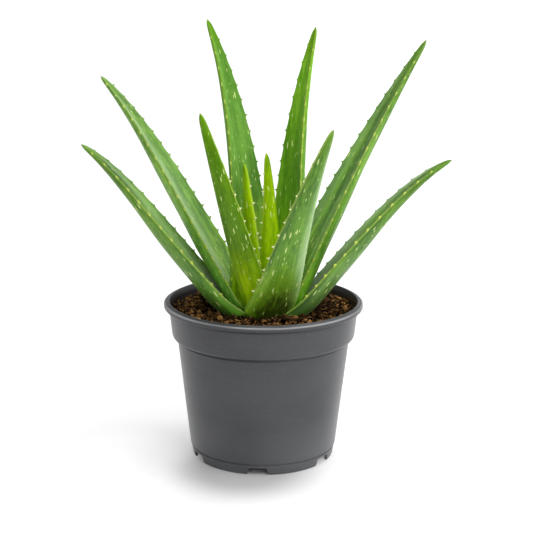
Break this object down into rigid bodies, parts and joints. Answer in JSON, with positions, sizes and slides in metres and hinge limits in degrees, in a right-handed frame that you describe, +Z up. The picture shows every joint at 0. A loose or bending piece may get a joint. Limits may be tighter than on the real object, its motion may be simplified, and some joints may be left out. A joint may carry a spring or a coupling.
{
  "type": "potted aloe plant",
  "caption": "Aloe rosette of thick, toothed, spotted leaves growing in dark soil in a round plastic nursery pot with a notched foot ring.",
  "frame": {"origin": "on the surface the pot stands on, on the pot's axis, which is the centre of the whole plant's box seen from above", "axes": "+Z up along the pot's axis; -Y towards the plant's front, where its broad front leaf stands; +X to the right seen from the front"},
  "size_m": [0.2738, 0.1786, 0.324],
  "materials": {
    "pot_plastic": "satin",
    "soil": "matte",
    "rootstock": "matte",
    "leaf": "satin",
    "young_leaf": "satin"
  },
  "bodies": {
    "root": {"pot": "pot_plastic", "soil": "soil", "rootstock": "rootstock", "leaf_young_right": "young_leaf", "leaf_young_left": "young_leaf", "leaf_inner_left": "leaf", "leaf_back_right": "leaf", "leaf_back_left": "leaf", "leaf_upper_left": "leaf", "leaf_upper_right": "leaf", "leaf_front": "leaf", "leaf_low_right": "leaf", "leaf_low_left": "leaf"}
  },
  "joints": []
}
